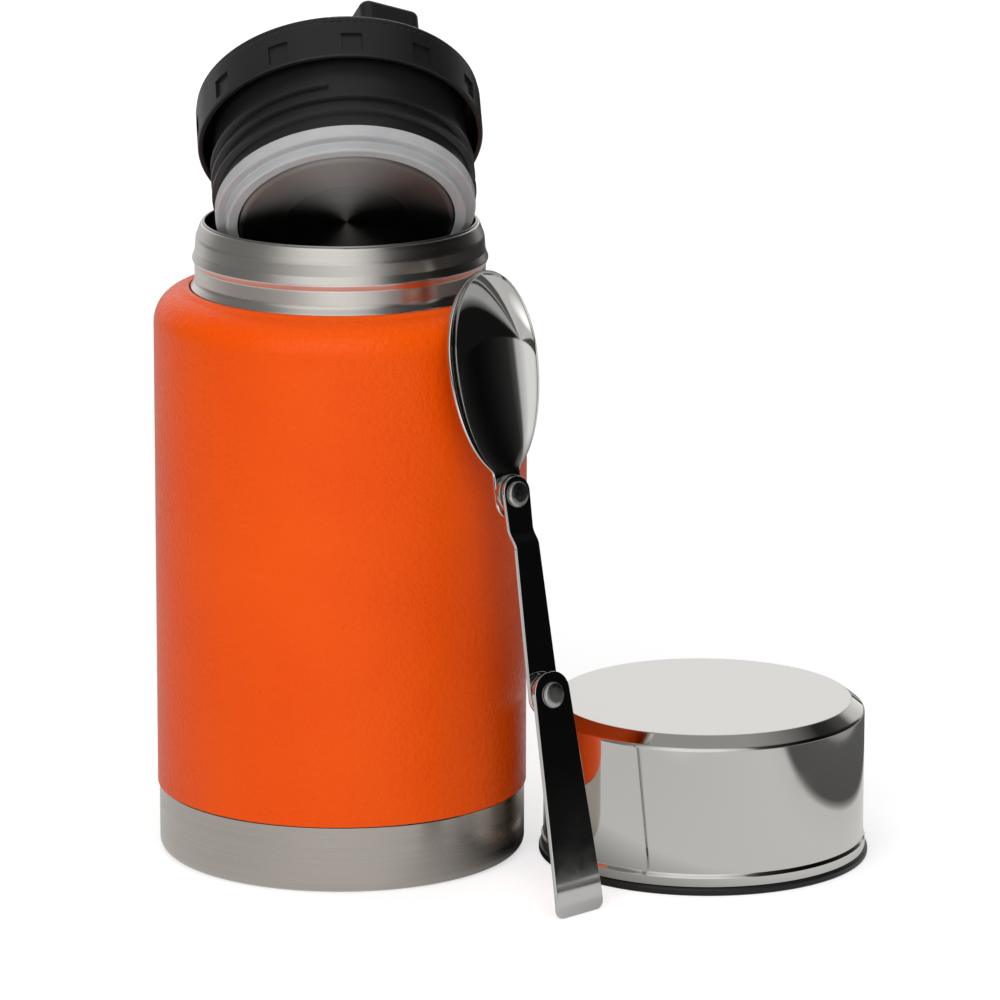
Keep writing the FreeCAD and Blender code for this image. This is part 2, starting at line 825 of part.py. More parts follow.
def write_parts():
    """Write each piece to its own STEP file."""
    os.makedirs("parts", exist_ok=True)
    for name, shape in make_parts().items():
        print(name, len(shape.Solids), shape.isValid(), round(shape.Volume, 1))
        shape.exportStep("parts/" + name + ".step")


write_parts()
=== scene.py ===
"""Looks of an insulated steel food jar with its stopper, drinking cup and folding spoon."""

import logging
import math
from dataclasses import dataclass, field
from enum import Enum
from typing import Any, Callable, Sequence

import bpy
import bmesh
from bmesh.types import BMesh, BMVert
from bpy.types import Material, Node, NodeSocket, NodeTree, Object
from mathutils import Matrix, Vector

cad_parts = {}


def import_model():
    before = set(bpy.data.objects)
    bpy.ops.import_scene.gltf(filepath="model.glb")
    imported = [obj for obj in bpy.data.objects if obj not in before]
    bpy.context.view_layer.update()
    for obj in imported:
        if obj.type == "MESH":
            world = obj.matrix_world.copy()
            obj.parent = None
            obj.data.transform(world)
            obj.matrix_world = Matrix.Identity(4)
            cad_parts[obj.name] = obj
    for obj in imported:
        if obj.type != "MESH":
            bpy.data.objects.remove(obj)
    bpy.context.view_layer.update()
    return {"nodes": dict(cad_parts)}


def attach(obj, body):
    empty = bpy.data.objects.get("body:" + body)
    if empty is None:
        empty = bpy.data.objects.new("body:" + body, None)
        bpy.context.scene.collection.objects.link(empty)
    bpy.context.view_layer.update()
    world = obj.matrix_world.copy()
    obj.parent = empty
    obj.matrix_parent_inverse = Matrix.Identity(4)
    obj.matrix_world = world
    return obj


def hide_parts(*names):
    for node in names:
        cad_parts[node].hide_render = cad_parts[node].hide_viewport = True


log = logging.getLogger("food_jar")

Colour = tuple[float, float, float, float]
Stops = tuple[tuple[float, float], ...]

MM = 0.001
WHITE = (1.0, 1.0, 1.0, 1.0)


class Brushing(Enum):
    """Way in which a steel surface was worked."""

    TURNED = "turned"
    DRAWN = "drawn"
    POLISHED = "polished"


def linear(code: str, shade: float = 1.0) -> Colour:
    """Turn an sRGB hex colour into linear values.

    Args:
        code: Six hex digits.
        shade: Share of the colour's light that is kept.

    Returns:
        Linear red, green and blue, and full opacity.
    """
    parts = [int(code[i:i + 2], 16) / 255 for i in (0, 2, 4)]
    values = [c / 12.92 if c <= 0.04045 else ((c + 0.055) / 1.055) ** 2.4 for c in parts]
    return values[0] * shade, values[1] * shade, values[2] * shade, 1.0


def grey(level: float) -> Colour:
    """Give a linear grey."""
    return level, level, level, 1.0


def add_node(tree: NodeTree, kind: str, inputs: dict[Any, Any] | tuple[Any, ...] = (),
             stops: Sequence[tuple[float, Colour]] = (), **settings: Any) -> Node:
    """Add one shader node with its settings, values and links.

    Args:
        tree: Node tree to add to.
        kind: Node type, without the ShaderNode prefix.
        inputs: Values by socket name or number, or a tuple in the sockets' order. A socket
            as value is linked, and so is the first socket of a node.
        stops: Positions and linear colours, where the node is a colour ramp.
        settings: Properties of the node.

    Returns:
        The new node.
    """
    made = tree.nodes.new("ShaderNode" + kind)
    for name, value in settings.items():
        setattr(made, name, value)
    for name, value in (inputs.items() if isinstance(inputs, dict) else enumerate(inputs)):
        value = value.outputs[0] if isinstance(value, Node) else value
        if isinstance(value, NodeSocket):
            tree.links.new(value, made.inputs[name])
        else:
            made.inputs[name].default_value = value
    if stops:
        elements = made.color_ramp.elements
        while len(elements) < len(stops):
            elements.new(1.0)
        for element, (position, colour) in zip(elements, stops):
            element.position = position
            element.color = colour
    return made


def blank_material(name: str) -> tuple[Material, NodeTree, Node]:
    """Make a material that holds only a principled shader and its output.

    Args:
        name: Material name.

    Returns:
        The material, its tree and the principled node.
    """
    made = bpy.data.materials.new(name)
    made.use_nodes = True
    tree = made.node_tree
    tree.nodes.clear()
    shader = add_node(tree, "BsdfPrincipled")
    add_node(tree, "OutputMaterial", {"Surface": shader})
    return made, tree, shader


@dataclass(frozen=True)
class Axis:
    """Line that a piece was turned about, in the row frame."""

    point: Vector = field(default_factory=lambda: Vector((0.0, 0.0, 0.0)))
    direction: Vector = field(default_factory=lambda: Vector((0.0, 0.0, 1.0)))

    def sockets(self, tree: NodeTree) -> tuple[NodeSocket, ...]:
        """Give a surface point's place about this axis.

        Args:
            tree: Node tree to add to.

        Returns:
            Radius, height and the direction round the axis.
        """
        place = add_node(tree, "TexCoord").outputs["Object"]
        arm = add_node(tree, "VectorMath", (
            place, self.point), operation="SUBTRACT").outputs["Vector"]
        height = add_node(tree, "VectorMath", (arm, self.direction), operation="DOT_PRODUCT")
        cross = add_node(tree, "VectorMath", (self.direction, arm), operation="CROSS_PRODUCT")
        around = cross.outputs["Vector"]
        radius = add_node(tree, "VectorMath", (around,), operation="LENGTH")
        unit = add_node(tree, "VectorMath", (around,), operation="NORMALIZE")
        return radius.outputs["Value"], height.outputs["Value"], unit.outputs["Vector"]


@dataclass(frozen=True)
class PowderCoat:
    """Baked polyester powder coat on steel, with a fine leathery texture.

    The powder flows only partly as it bakes, so the skin keeps shallow wrinkles about a
    millimetre and a half across, which break the highlight into small flecks. Patches a few
    centimetres wide differ faintly in colour.
    """

    name: str = "orange_powder_coat"
    colour: str = "EA5200"
    worn_colour: str = "E44B00"
    roughness: float = 0.32
    smoother: float = 0.05
    rougher: float = 0.07
    gloss: float = 0.17
    wrinkle: float = 1.5 * MM
    wrinkle_depth: float = 0.3 * MM
    # The melted powder's own grain is about 0.1 mm, drawn coarser so that it shows.
    grain: float = 0.35 * MM
    grain_depth: float = 0.075 * MM
    grain_strength: float = 0.25
    patch: float = 45.5 * MM

    def build(self) -> Material:
        """Make the material.

        Returns:
            The finished material.
        """
        made, tree, shader = blank_material(self.name)
        place = add_node(tree, "TexCoord").outputs["Object"]
        wrinkles = add_node(tree, "TexNoise", {
            "Vector": place, "Scale": 1 / self.wrinkle, "Detail": 2.0, "Roughness": 0.55,
            "Distortion": 0.6}).outputs["Fac"]
        grain = add_node(tree, "TexNoise", {
            "Vector": place, "Scale": 1 / self.grain, "Detail": 1.0, "Roughness": 0.5})
        patches = add_node(tree, "TexNoise", {
            "Vector": place, "Scale": 1 / self.patch, "Detail": 2.0})
        colour = add_node(tree, "ValToRGB", (patches,), [
            (0.3, linear(self.worn_colour)), (0.7, linear(self.colour))])
        coarse = add_node(tree, "Bump", {
            "Strength": 1.0, "Distance": self.wrinkle_depth, "Height": wrinkles})
        fine = add_node(tree, "Bump", {
            "Strength": self.grain_strength, "Distance": self.grain_depth,
            "Height": grain, "Normal": coarse})
        rough = add_node(tree, "MapRange", (
            wrinkles, 0.3, 0.7, self.roughness - self.smoother, self.roughness + self.rougher))
        tree.links.new(colour.outputs["Color"], shader.inputs["Base Color"])
        tree.links.new(rough.outputs["Result"], shader.inputs["Roughness"])
        tree.links.new(fine.outputs["Normal"], shader.inputs["Normal"])
        shader.inputs["Specular IOR Level"].default_value = self.gloss
        return made


@dataclass(frozen=True)
class Steel:
    """Stainless steel, 18/8, turned, drawn or polished.

    Turning and brushing leave fine rings round the piece's axis, which stretch every
    highlight across them; drawing leaves the rings without the stretch, and polishing
    leaves only faint smears.
    """

    name: str
    colour: str
    roughness: float
    brushing: Brushing
    axis: Axis = field(default_factory=Axis)
    # Brush marks are about 0.1 mm apart, drawn twice as coarse so that they show.
    ring_pitch: float = 0.22 * MM
    ring_depth: float = 0.004 * MM
    ring_strength: float = 0.4
    broad_share: float = 0.12
    anisotropy: float = 0.5
    streaks: float = 0.06
    smear: float = 14.3 * MM

    def build(self) -> Material:
        """Make the material.

        Returns:
            The finished material.
        """
        made, tree, shader = blank_material(self.name)
        shader.inputs["Metallic"].default_value = 1.0
        if self.brushing is Brushing.POLISHED:
            self.polish(tree, shader)
        else:
            self.brush(tree, shader)
        return made

    def brush(self, tree: NodeTree, shader: Node) -> None:
        """Lay fine rings round the axis, with broader bands that shine a little more or less.

        Args:
            tree: Node tree to add to.
            shader: Principled node to feed.
        """
        radius, height, around = self.axis.sockets(tree)
        rings = add_node(tree, "CombineXYZ", {"X": radius, "Y": height}).outputs["Vector"]
        fine = add_node(tree, "TexNoise", {
            "Vector": rings, "Scale": 1 / self.ring_pitch, "Detail": 3.0,
            "Roughness": 0.7}).outputs["Fac"]
        broad = add_node(tree, "TexNoise", {
            "Vector": rings, "Scale": self.broad_share / self.ring_pitch, "Detail": 2.0})
        colour = add_node(tree, "ValToRGB", (fine,), [
            (0.3, linear(self.colour, 1 - self.streaks * 2)), (0.7, linear(self.colour))])
        rough = add_node(tree, "MapRange", (
            broad, 0.3, 0.7, self.roughness - self.streaks / 2,
            self.roughness + self.streaks))
        bump = add_node(tree, "Bump", {
            "Strength": self.ring_strength, "Distance": self.ring_depth, "Height": fine})
        tree.links.new(colour.outputs["Color"], shader.inputs["Base Color"])
        tree.links.new(rough.outputs["Result"], shader.inputs["Roughness"])
        tree.links.new(bump.outputs["Normal"], shader.inputs["Normal"])
        if self.brushing is Brushing.TURNED:
            shader.inputs["Anisotropic"].default_value = self.anisotropy
            shader.inputs["Anisotropic Rotation"].default_value = 0.25
            tree.links.new(around, shader.inputs["Tangent"])

    def polish(self, tree: NodeTree, shader: Node) -> None:
        """Keep a near mirror, with faint smears of uneven polish and handling.

        Args:
            tree: Node tree to add to.
            shader: Principled node to feed.
        """
        place = add_node(tree, "TexCoord").outputs["Object"]
        smears = add_node(tree, "TexNoise", {
            "Vector": place, "Scale": 1 / self.smear, "Detail": 4.0, "Roughness": 0.65})
        rough = add_node(tree, "MapRange", (
            smears, 0.35, 0.75, self.roughness * 0.6, self.roughness * 1.8))
        tree.links.new(rough.outputs["Result"], shader.inputs["Roughness"])
        shader.inputs["Base Color"].default_value = linear(self.colour)


@dataclass(frozen=True)
class CupSteel:
    """Stainless steel of the cup's wall: polished to a mirror, with a satin turned face.

    The face is finished on the lathe with fine abrasive, so it shines pale and soft, and the
    side below it is buffed.
    """

    name: str
    colour: str
    axis: Axis
    face_height: float
    mirror_roughness: float = 0.06
    satin_roughness: float = 0.3
    # The abrasive's rings are about 0.1 mm apart, drawn three times as coarse so that they show.
    ring_pitch: float = 0.3 * MM
    ring_depth: float = 0.01 * MM
    ring_strength: float = 0.4
    smear: float = 16.7 * MM
    buffed_below: float = 0.35 * MM
    satin_above: float = 0.1 * MM

    def build(self) -> Material:
        """Make the material.

        Returns:
            The finished material.
        """
        made, tree, shader = blank_material(self.name)
        radius, height, _ = self.axis.sockets(tree)
        face = add_node(tree, "MapRange", (
            height, self.face_height - self.buffed_below, self.face_height - self.satin_above,
            0.0, 1.0)).outputs["Result"]
        rings = add_node(tree, "CombineXYZ", {"X": radius})
        fine = add_node(tree, "TexNoise", {
            "Vector": rings, "Scale": 1 / self.ring_pitch, "Detail": 2.0,
            "Roughness": 0.7})
        place = add_node(tree, "TexCoord").outputs["Object"]
        smears = add_node(tree, "TexNoise", {
            "Vector": place, "Scale": 1 / self.smear, "Detail": 4.0, "Roughness": 0.65})
        mirror = add_node(tree, "MapRange", (
            smears, 0.35, 0.75, self.mirror_roughness * 0.5,
            self.mirror_roughness * 1.8))
        rough = add_node(tree, "Mix", {
            0: face, 2: mirror, 3: self.satin_roughness}, data_type="FLOAT")
        relief = add_node(tree, "Math", (fine, face), operation="MULTIPLY")
        bump = add_node(tree, "Bump", {
            "Strength": self.ring_strength, "Distance": self.ring_depth,
            "Height": relief})
        tree.links.new(rough.outputs[0], shader.inputs["Roughness"])
        tree.links.new(bump.outputs["Normal"], shader.inputs["Normal"])
        shader.inputs["Base Color"].default_value = linear(self.colour)
        shader.inputs["Metallic"].default_value = 1.0
        return made


@dataclass(frozen=True)
class Moulding:
    """Moulded or cast material with a fine grain, such as polypropylene or silicone.

    The grain is what spark erosion leaves in the mould. It dulls the gloss, and the colour
    is a little uneven over a centimetre or two.
    """

    name: str
    colour: str
    roughness: float
    # Spark erosion leaves a grain of about 0.1 mm, drawn coarser so that it shows.
    grain: float = 0.25 * MM
    grain_depth: float = 0.006 * MM
    grain_strength: float = 0.5
    patch: float = 16.7 * MM
    patch_shade: float = 0.86
    smoother: float = 0.04
    rougher: float = 0.05
    subsurface: float = 0.0
    subsurface_reach: float = 2 * MM

    def build(self) -> Material:
        """Make the material.

        Returns:
            The finished material.
        """
        made, tree, shader = blank_material(self.name)
        place = add_node(tree, "TexCoord").outputs["Object"]
        grain = add_node(tree, "TexNoise", {
            "Vector": place, "Scale": 1 / self.grain, "Detail": 2.0, "Roughness": 0.6})
        patches = add_node(tree, "TexNoise", {
            "Vector": place, "Scale": 1 / self.patch, "Detail": 3.0}).outputs["Fac"]
        colour = add_node(tree, "ValToRGB", (patches,), [
            (0.35, linear(self.colour, self.patch_shade)), (0.65, linear(self.colour))])
        rough = add_node(tree, "MapRange", (
            patches, 0.3, 0.7, self.roughness - self.smoother, self.roughness + self.rougher))
        bump = add_node(tree, "Bump", {
            "Strength": self.grain_strength, "Distance": self.grain_depth,
            "Height": grain})
        tree.links.new(colour.outputs["Color"], shader.inputs["Base Color"])
        tree.links.new(rough.outputs["Result"], shader.inputs["Roughness"])
        tree.links.new(bump.outputs["Normal"], shader.inputs["Normal"])
        shader.inputs["Subsurface Weight"].default_value = self.subsurface
        shader.inputs["Subsurface Scale"].default_value = self.subsurface_reach
        return made


@dataclass(frozen=True)
class Corner:
    """One corner of an outline, in millimetres, with the radius that rounds it."""

    across: float
    along: float
    rounding: float = 0.0

    def point(self) -> Vector:
        """Give the sharp corner's place."""
        return Vector((self.across, self.along))


def rounded_outline(corners: list[Corner], step: float = 9.0) -> list[Vector]:
    """Round the corners of a closed outline.

    Args:
        corners: Corners in order.
        step: Turn between two points of an arc, in degrees.

    Returns:
        Points of the outline, in millimetres.
    """
    points = []
    for index, corner in enumerate(corners):
        here = corner.point()
        if corner.rounding <= 0:
            points.append(here)
            continue
        before = (corners[index - 1].point() - here).normalized()
        after = (corners[(index + 1) % len(corners)].point() - here).normalized()
        half = before.angle(after) / 2
        centre = here + (before + after).normalized() * (corner.rounding / math.sin(half))
        start = here + before * (corner.rounding / math.tan(half)) - centre
        end = here + after * (corner.rounding / math.tan(half)) - centre
        sweep = start.angle(end)
        count = max(2, math.ceil(math.degrees(sweep) / step))
        for number in range(count + 1):
            part = number / count
            first = math.sin((1 - part) * sweep) / math.sin(sweep)
            second = math.sin(part * sweep) / math.sin(sweep)
            points.append(centre + start * first + end * second)
    return points


def join_rings(mesh: BMesh, first: list[BMVert], second: list[BMVert]) -> None:
    """Join two rings of points with faces; a ring of one point is a pole.

    Args:
        mesh: Mesh to add to.
        first: One ring.
        second: The next ring.
    """
    count = max(len(first), len(second))
    if count == 1:
        return
    for index in range(count):
        following = (index + 1) % count
        if len(first) == 1:
            mesh.faces.new((first[0], second[following], second[index]))
        elif len(second) == 1:
            mesh.faces.new((first[index], first[following], second[0]))
        else:
            mesh.faces.new((first[index], first[following], second[following], second[index]))


def finish_piece(name: str, mesh: BMesh, place: Matrix) -> Object:
    """Turn a finished mesh into a smooth shaded object in the row frame.

    Args:
        name: Piece name.
        mesh: Mesh in millimetres, in the piece's own frame.
        place: Where the piece's own frame lies, in metres.

    Returns:
        The new object, with its place baked into its mesh.
    """
    bmesh.ops.recalc_face_normals(mesh, faces=mesh.faces)
    data = bpy.data.meshes.new(name)
    mesh.transform(place @ Matrix.Scale(MM, 4))
    mesh.to_mesh(data)
    mesh.free()
    data.shade_smooth()
    piece = bpy.data.objects.new(name, data)
    bpy.context.scene.collection.objects.link(piece)
    even = piece.modifiers.new("even_shading", "WEIGHTED_NORMAL")
    even.weight = 100
    even.keep_sharp = True
    return piece


def turn_piece(name: str, corners: list[Corner], place: Matrix, count: int = 192) -> Object:
    """Turn an outline about its own Z axis, as a lathe or a press would.

    Args:
        name: Piece name.
        corners: Distance from the axis, height and rounding.
        place: Where the axis lies, in metres.
        count: Points round each ring.

    Returns:
        The new object.
    """
    mesh = bmesh.new()
    turns = [2 * math.pi * number / count for number in range(count)]
    rings = []
    for point in rounded_outline(corners):
        if point.x < 1e-6:
            rings.append([mesh.verts.new((0, 0, point.y))])
            continue
        rings.append([mesh.verts.new((point.x * math.cos(turn), point.x * math.sin(turn), point.y))
                      for turn in turns])
    for first, second in zip(rings, rings[1:] + rings[:1]):
        join_rings(mesh, first, second)
    return finish_piece(name, mesh, place)


def stand_in(piece: Object, body: str, slot: str, material: Material, *nodes: str) -> None:
    """Put a detailed piece in the place of its CAD nodes.

    Args:
        piece: The detailed piece.
        body: Body that it rides on.
        slot: Material slot of the record; not used.
        material: Its finish.
        nodes: CAD nodes that it stands for.
    """
    piece.data.materials.append(material)
    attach(piece, body)
    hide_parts(*nodes)
    log.info("%s stands for %s in %s", piece.name, ", ".join(nodes), material.name)


def dress(nodes: dict[str, Object], name: str, material: Material) -> None:
    """Give a CAD node its finish.

    Args:
        nodes: The frame's nodes.
        name: Node name.
        material: Finish for all of its slots.
    """
    node = nodes[name]
    if not node.material_slots:
        node.data.materials.append(material)
    for slot in node.material_slots:
        slot.material = material
    log.info("%s wears %s", name, material.name)


@dataclass
class Jar:
    """Vacuum jar: coated wall, bare neck and foot band, and the vessel inside."""

    coat: PowderCoat = field(default_factory=PowderCoat)
    # Stainless steel, brushed on the lathe: its shine is drawn out across the marks.
    neck: Steel = field(default_factory=lambda: Steel(
        "brushed_neck_steel", "E2DED8", 0.3, Brushing.TURNED, anisotropy=0.4))
    band: Steel = field(default_factory=lambda: Steel(
        "brushed_band_steel", "CBC3BB", 0.27, Brushing.TURNED, anisotropy=0.4))
    # Stainless steel as deep drawn: dull, with faint rings.
    vessel: Steel = field(default_factory=lambda: Steel(
        "drawn_vessel_steel", "B8B4AF", 0.3, Brushing.DRAWN))
    # Soft solder, melted and set: a dull grey bead.
    seal: Moulding = field(default_factory=lambda: Moulding("solder_bead", "8C8C8A", 0.45))
    # Pressed and sintered metal powder: nearly black and matt.
    pellet: Moulding = field(default_factory=lambda: Moulding("sintered_pellet", "3A3A3C", 0.8))
    radius: float = 50.0
    coat_thickness: float = 0.35
    coat_low: float = 18.55
    coat_edge: float = 40.35
    shoulder: float = 154.2
    shoulder_drop: float = 2.0
    shoulder_round: float = 9.0
    band_radius: float = 49.5
    band_top: float = 18.3
    points: int = 256

    def coat_corners(self) -> list[Corner]:
        """Give the outline of the baked coat, with its raised edge round the neck.

        Returns:
            Corners of the coat's section, the outer face first.
        """
        skin, edge = self.coat_thickness, self.coat_edge
        outer, inner = self.radius - 0.02, self.radius - skin
        fall = self.shoulder - self.shoulder_drop
        return [
            Corner(inner, self.coat_low), Corner(outer, self.coat_low, 0.15),
            Corner(outer, fall, self.shoulder_round), Corner(edge + 2.7, self.shoulder - 0.02, 1.2),
            Corner(edge + 1.3, self.shoulder + 0.88, 0.5), Corner(edge, self.shoulder + 0.88, 0.3),
            Corner(edge, self.shoulder - skin),
            Corner(inner, fall - skin, self.shoulder_round - skin),
        ]

    def band_corners(self) -> list[Corner]:
        """Give the outline of the pressed foot band and its grooved underside.

        Returns:
            Corners of the band's section, the underside first.
        """
        return [
            Corner(0, 0), Corner(35.0, 0, 0.3), Corner(35.8, 0.9, 0.3), Corner(37.2, 0.9, 0.3),
            Corner(38.0, 0, 0.3), Corner(self.band_radius, 0, 3.0),
            Corner(self.band_radius, self.band_top, 0.3),
            Corner(self.band_radius - 0.8, self.band_top), Corner(self.band_radius - 0.8, 0.8, 2.2),
            Corner(38.6, 0.8, 0.3), Corner(37.6, 1.7, 0.3), Corner(35.4, 1.7, 0.3),
            Corner(34.4, 0.8, 0.3), Corner(0, 0.8),
        ]

    def build(self, nodes: dict[str, Object]) -> None:
        """Build and dress the jar.

        Args:
            nodes: The frame's nodes.
        """
        upright = Matrix.Identity(4)
        coat = turn_piece("jar_coat", self.coat_corners(), upright, self.points)
        stand_in(coat, "jar", "orange_coat", self.coat.build(), "powder_coat")
        band = turn_piece("jar_band", self.band_corners(), upright, self.points)
        stand_in(band, "jar", "body_steel", self.band.build(), "base_cap")
        vessel = self.vessel.build()
        dress(nodes, "outer_shell", self.neck.build())
        dress(nodes, "inner_flask", vessel)
        dress(nodes, "base_plate", vessel)
        dress(nodes, "vacuum_seal", self.seal.build())
        dress(nodes, "getter", self.pellet.build())


@dataclass
class Stopper:
    """Screw-in stopper, lying tilted in the mouth."""

    # Injection moulded polypropylene: black with a low, even sheen.
    plastic: Moulding = field(default_factory=lambda: Moulding(
        "black_polypropylene", "1A1A1B", 0.36))
    # Cast silicone rubber: milky white, with a little light passing through.
    silicone: Moulding = field(default_factory=lambda: Moulding(
        "white_silicone", "AEAFB0", 0.42, subsurface=0.25))
    # Expanded foam, moulded: cream and matt.
    foam: Moulding = field(default_factory=lambda: Moulding("moulded_foam", "D8D2C6", 0.9))
    place: Vector = field(default_factory=lambda: Vector((2.3, -18.0, 175.2)))
    tilt: float = 47.0
    side_lean: float = -6.8
    pan_radius: float = 28.45
    pan_step: float = 15.6

    def stand(self) -> Matrix:
        """Give the place of the stopper's own axis, from the pan's face up.

        Returns:
            Matrix from the stopper's own frame to the row frame, in metres.
        """
        turn = Matrix.Rotation(math.radians(self.side_lean), 4, "Y") @ Matrix.Rotation(
            math.radians(-self.tilt), 4, "X")
        return Matrix.Translation(self.place * MM) @ turn

    def pan_corners(self) -> list[Corner]:
        """Give the outline of the drawn pan, with its shallow round step.

        Returns:
            Corners of the pan's section, the outer face first.
        """
        step, radius = self.pan_step, self.pan_radius
        return [
            Corner(0, 0.5), Corner(step, 0.5, 0.4), Corner(step + 0.6, 0.02, 0.4),
            Corner(radius, 0.02, 1.6), Corner(radius, 6.4, 0.1), Corner(radius - 0.5, 6.4),
            Corner(radius - 0.5, 0.5, 1.1), Corner(step, 0.6, 0.3), Corner(step - 0.5, 1.0, 0.3),
            Corner(0, 1.0),
        ]

    def gasket_corners(self) -> list[Corner]:
        """Give the outline of the stepped silicone ring.

        Returns:
            Corners of the ring's section, its lip round the pan first.
        """
        return [
            Corner(29.75, 1.0), Corner(28.76, 1.0, 0.1), Corner(28.76, 0.52, 0.2),
            Corner(31.6, 0.52, 0.7), Corner(31.8, 3.2, 0.4), Corner(34.48, 3.2, 0.8),
            Corner(34.48, 6.83, 0.5), Corner(29.75, 6.83, 0.1),
        ]

    def build(self, nodes: dict[str, Object]) -> None:
        """Build and dress the stopper.

        Args:
            nodes: The frame's nodes.
        """
        stand = self.stand()
        axis = Axis(stand.to_translation(), stand.to_3x3() @ Vector((0, 0, 1)))
        plastic = self.plastic.build()
        for name in ("stopper_shell", "stopper_cover", "stopper_grip"):
            dress(nodes, name, plastic)
        gasket = turn_piece("silicone_ring", self.gasket_corners(), stand)
        stand_in(gasket, "gasket", "gasket_silicone", self.silicone.build(), "stopper_gasket")
        dress(nodes, "stopper_foam", self.foam.build())
        # Stainless steel, faced on the lathe: its shine fans out from the middle.
        steel = Steel("turned_pan_steel", "A3A19E", 0.56, Brushing.TURNED, axis=axis,
                      anisotropy=0.8)
        pan = turn_piece("steel_pan", self.pan_corners(), stand)
        stand_in(pan, "stopper", "vessel_steel", steel.build(), "stopper_pan")


@dataclass
class Cup:
    """Double-walled drinking cup, standing upside down."""

    # Injection moulded polypropylene: black and a little dull.
    ring: Moulding = field(default_factory=lambda: Moulding("black_ring_polymer", "151516", 0.4))
    centre: Vector = field(default_factory=lambda: Vector((98.1, -5.1, 0)))
    height: float = 43.06
    radius: float = 43.36
    face_radius: float = 39.6
    bevel: float = 3.0
    hem_radius: float = 43.9
    hem_height: float = 5.6
    wall: float = 0.6
    ring_radius: float = 44.57
    ring_height: float = 2.2
    points: int = 256

    def shell_corners(self) -> list[Corner]:
        """Give the outline of the outer wall, drawn in one piece with its face.

        Returns:
            Corners of the wall's section, the outer face first.
        """
        low = self.ring_height + 0.15
        top = self.height - self.wall
        shift = self.wall * 0.45
        hem, inner = self.hem_radius - self.wall, self.radius - self.wall
        return [
            Corner(0, self.height), Corner(self.face_radius, self.height, 0.7),
            Corner(self.radius, self.height - self.bevel, 1.4),
            Corner(self.radius, self.hem_height, 0.8),
            Corner(self.hem_radius, self.hem_height - 0.8, 0.6), Corner(self.hem_radius, low, 0.1),
            Corner(hem, low), Corner(hem, self.hem_height - 1.0, 0.4),
            Corner(inner, self.hem_height - 0.2, 0.4), Corner(inner, top - self.bevel + shift, 0.6),
            Corner(self.face_radius - shift, top, 0.3), Corner(0, top),
        ]

    def ring_corners(self) -> list[Corner]:
        """Give the outline of the black ring on the cup's mouth.

        Returns:
            Corners of the ring's section, its foot first and then its tongue.
        """
        return [
            Corner(39.95, 0, 0.3), Corner(self.ring_radius, 0, 0.7),
            Corner(self.ring_radius, self.ring_height, 0.7), Corner(42.61, self.ring_height),
            Corner(42.61, 6.7, 0.2), Corner(40.95, 6.7, 0.2), Corner(40.95, self.ring_height),
            Corner(39.95, self.ring_height, 0.2),
        ]

    def build(self, nodes: dict[str, Object]) -> None:
        """Build and dress the cup.

        Args:
            nodes: The frame's nodes.
        """
        place = Matrix.Translation(self.centre * MM)
        axis = Axis(self.centre * MM)
        shell = turn_piece("cup_wall", self.shell_corners(), place, self.points)
        steel = CupSteel("polished_cup_steel", "D9D7D2", axis, self.height * MM)
        stand_in(shell, "cup", "mirror_steel", steel.build(), "cup_shell")
        # Stainless steel as deep drawn: dull, with faint rings.
        bowl = Steel("drawn_bowl_steel", "B8B4AF", 0.28, Brushing.DRAWN, axis=axis)
        dress(nodes, "cup_bowl", bowl.build())
        ring = turn_piece("cup_mouth_ring", self.ring_corners(), place, self.points)
        stand_in(ring, "cup", "black_plastic", self.ring.build(), "cup_ring")


